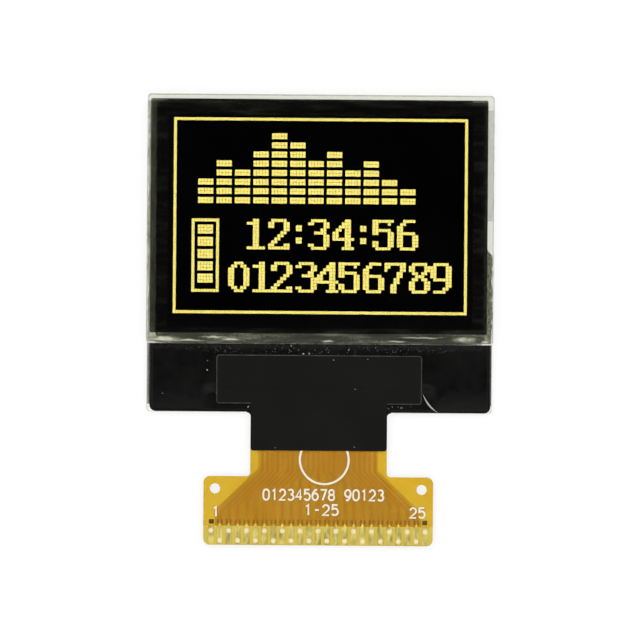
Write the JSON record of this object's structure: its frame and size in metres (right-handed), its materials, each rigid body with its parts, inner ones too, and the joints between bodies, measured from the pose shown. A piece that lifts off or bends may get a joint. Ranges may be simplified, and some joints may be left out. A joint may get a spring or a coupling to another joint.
{
  "type": "oled display module",
  "caption": "Flat dot-matrix display: glass panel with a lit yellow image, chip on a blackened ledge and a short amber printed tail with solder pads.",
  "frame": {"origin": "middle of the rear glass plate's back face, on which the module lies", "axes": "+Z out of the screen towards the viewer, +Y to the top of the picture, +X to its right"},
  "size_m": [0.0272, 0.0353, 0.0014],
  "materials": {
    "panel_glass": "clear float glass, polished faces, ground edges",
    "thin_metal": "sputtered film, mirror smooth",
    "organic_film": "evaporated organic layer, black when unlit",
    "glow": "yellow glowing dots",
    "seal_resin": "cured grey sealing resin with a grain",
    "mask_ink": "black glass enamel",
    "polariser_film": "laminated film, dark, smooth hard coat",
    "silicon": "bare silicon, ground back",
    "bond_resin": "cured conductive film adhesive",
    "black_resin": "poured black resin, satin",
    "polyimide": "amber film, satin",
    "copper": "rolled copper foil, etched edges",
    "gold_plate": "immersion gold, satin",
    "dam_ink": "dark resist",
    "white_ink": "screen printed ink",
    "black_tape": "coated polyester tape, satin"
  },
  "bodies": {
    "root": {"substrate_glass": "panel_glass", "column_lines": "thin_metal", "emissive_film": "organic_film", "row_electrodes": "thin_metal", "row_leads": "thin_metal", "lit_image": "glow", "perimeter_seal": "seal_resin", "surround_mask": "mask_ink", "cover_glass": "panel_glass", "polariser": "polariser_film", "input_leads": "thin_metal", "driver_chip": "silicon", "chip_bond_film": "bond_resin", "tail_bond_film": "bond_resin", "ledge_coat": "black_resin", "tail_base_film": "polyimide", "tail_traces": "copper", "tail_cover_film": "polyimide", "gold_pads": "gold_plate", "solder_dams": "dam_ink", "printed_ring": "white_ink", "light_tape": "black_tape"}
  },
  "joints": []
}
